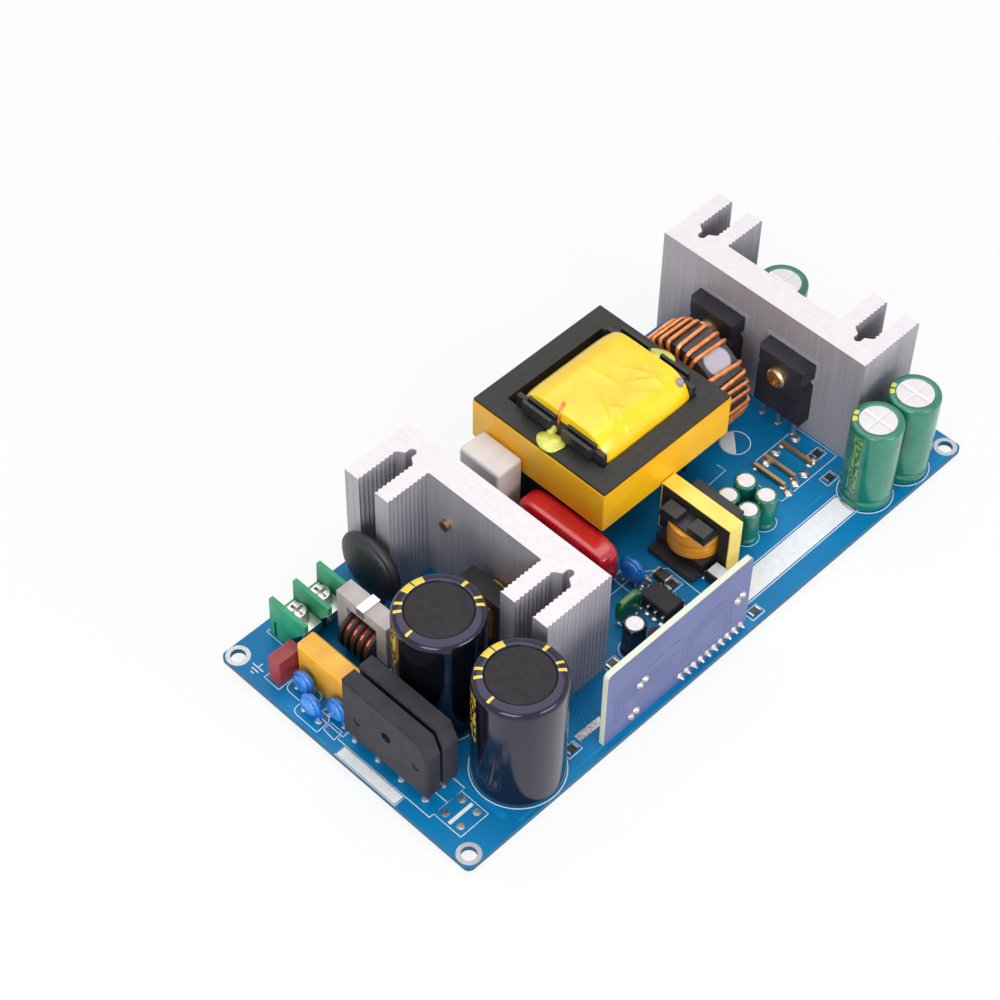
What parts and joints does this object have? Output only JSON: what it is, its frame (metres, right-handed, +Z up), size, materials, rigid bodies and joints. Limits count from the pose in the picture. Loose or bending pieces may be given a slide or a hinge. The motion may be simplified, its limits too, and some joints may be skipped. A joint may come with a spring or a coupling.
{
  "type": "open-frame power supply board",
  "caption": "Open-frame mains power supply board: finned heatsinks, taped transformer, toroidal choke, capacitors, screw terminals and an upright daughter board.",
  "frame": {"origin": "centre of the four mounting holes on the underside of the board", "axes": "+X from the mains input end to the output end, +Z up out of the component side, +Y to the side of the input terminal"},
  "size_m": [0.188, 0.0886, 0.0418],
  "materials": {
    "black_plastic": "matte",
    "board": "satin",
    "can_black": "gloss",
    "can_green": "gloss",
    "can_top": "satin",
    "can_top_dark": "satin",
    "cap_green": "gloss",
    "cap_red": "gloss",
    "cap_white": "satin",
    "cap_yellow": "satin",
    "copper": "gloss",
    "daughter": "satin",
    "disc_blue": "gloss",
    "ferrite": "matte",
    "fuse_red": "satin",
    "glue": "gloss",
    "grey_ferrite": "matte",
    "heatsink": "satin",
    "orange_tape": "gloss",
    "pad": "matte",
    "screw_steel": "satin",
    "terminal_green": "satin",
    "tinned": "satin",
    "yellow_tape": "gloss"
  },
  "bodies": {
    "root": {"auxiliary_bobbin": "black_plastic", "auxiliary_coil": "orange_tape", "auxiliary_core": "ferrite", "auxiliary_pins": "tinned", "auxiliary_tape": "yellow_tape", "box_film_capacitor": "cap_white", "bridge_leads": "tinned", "bridge_rectifier_1": "black_plastic", "bridge_rectifier_2": "black_plastic", "bulk_capacitor_1": "can_black", "bulk_capacitor_2": "can_black", "bulk_capacitor_tops": "can_top_dark", "capacitor_tops": "can_top", "ceramic_discs": "disc_blue", "chip_parts": "black_plastic", "choke_bobbin": "black_plastic", "choke_clip": "tinned", "choke_core": "grey_ferrite", "choke_windings": "copper", "component_leads": "tinned", "controller_chips": "black_plastic", "controller_leads": "tinned", "current_shunts": "tinned", "daughter_board": "daughter", "driver_coil": "yellow_tape", "driver_core": "ferrite", "front_heatsink": "heatsink", "fuse": "fuse_red", "green_film_capacitor": "cap_green", "header_bar": "black_plastic", "header_pins": "tinned", "heatsink_screws": "screw_steel", "insulating_pads": "pad", "main_board": "board", "output_capacitor_1": "can_green", "output_capacitor_2": "can_green", "output_capacitor_3": "can_green", "output_rectifiers": "black_plastic", "power_leads": "tinned", "rear_heatsink": "heatsink", "red_film_capacitor": "cap_red", "small_capacitors": "can_green", "switching_transistors": "black_plastic", "terminal_clamps": "tinned", "terminal_housings": "terminal_green", "terminal_pins": "tinned", "terminal_screws": "screw_steel", "thermistor": "black_plastic", "three_lead_part": "black_plastic", "toroid_core": "grey_ferrite", "toroid_winding": "copper", "transformer_bobbin": "black_plastic", "transformer_coil": "yellow_tape", "transformer_core_1": "ferrite", "transformer_core_2": "ferrite", "transformer_glue": "glue", "transformer_pins": "tinned", "transformer_tape": "yellow_tape", "x_capacitor": "cap_yellow"}
  },
  "joints": []
}
